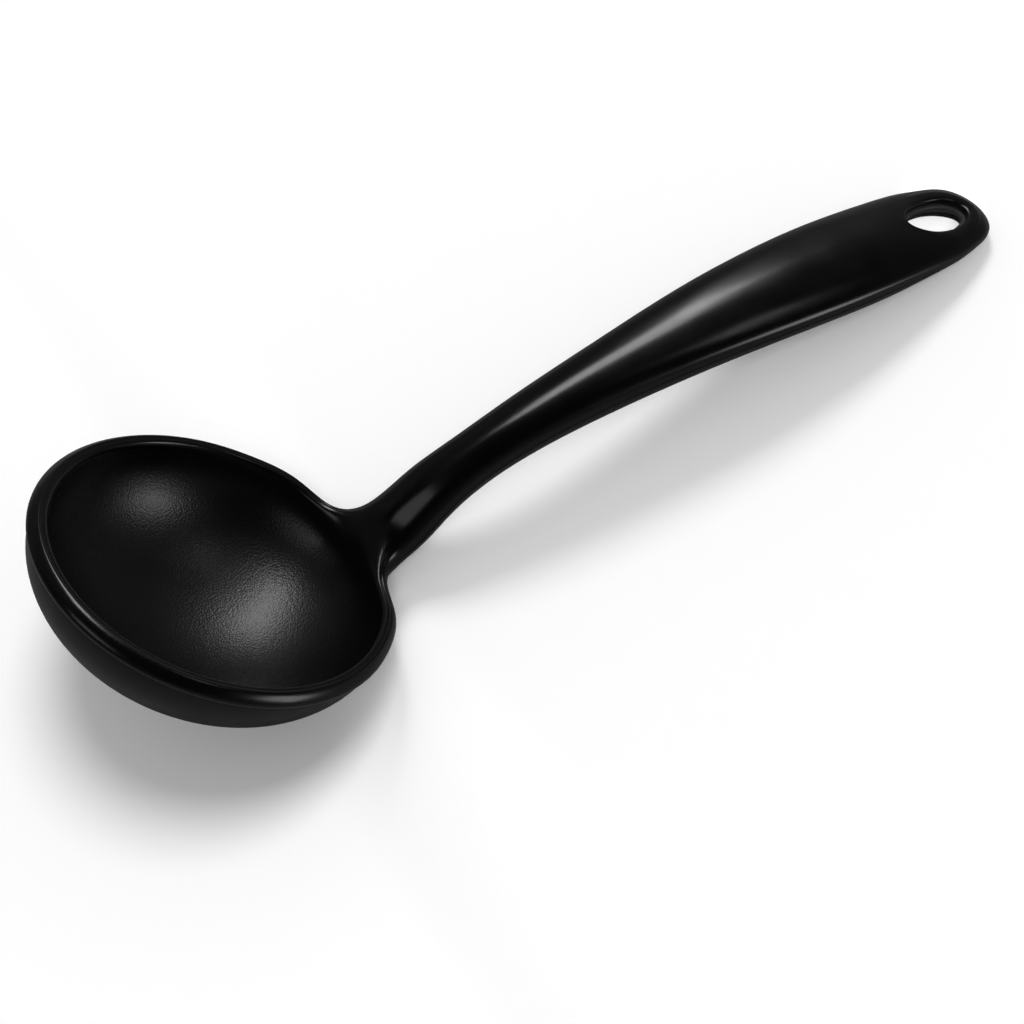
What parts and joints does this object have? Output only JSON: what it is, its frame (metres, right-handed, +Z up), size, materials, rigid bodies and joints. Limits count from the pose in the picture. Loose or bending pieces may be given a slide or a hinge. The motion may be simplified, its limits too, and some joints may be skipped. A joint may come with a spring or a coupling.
{
  "type": "silicone ladle",
  "caption": "Black silicone ladle with a deep round bowl, rolled rim, flared neck and an arched handle that ends in an oval hang hole.",
  "frame": {"origin": "lowest place of the bowl, on the small flat on which the ladle rests; z = 0 is the table", "axes": "+X from the bowl along the handle to its tail, +Z up from the table, +Y to the handle's left"},
  "size_m": [0.3076, 0.09, 0.0644],
  "materials": {
    "silicone_top": "black silicone, satin on the rim and handle, finely pebbled in the bowl",
    "silicone_under": "black silicone, satin",
    "nylon_core": "dark grey glass-filled nylon, as moulded",
    "spine_steel": "rolled steel strip and rivets",
    "eyelet_nylon": "black nylon, as moulded"
  },
  "bodies": {
    "root": {"upper_skin": "silicone_top", "lower_skin": "silicone_under", "bowl_former": "nylon_core", "handle_core": "nylon_core", "steel_spine": "spine_steel", "spine_rivet_front": "spine_steel", "spine_rivet_rear": "spine_steel", "hang_eyelet": "eyelet_nylon"}
  },
  "joints": []
}
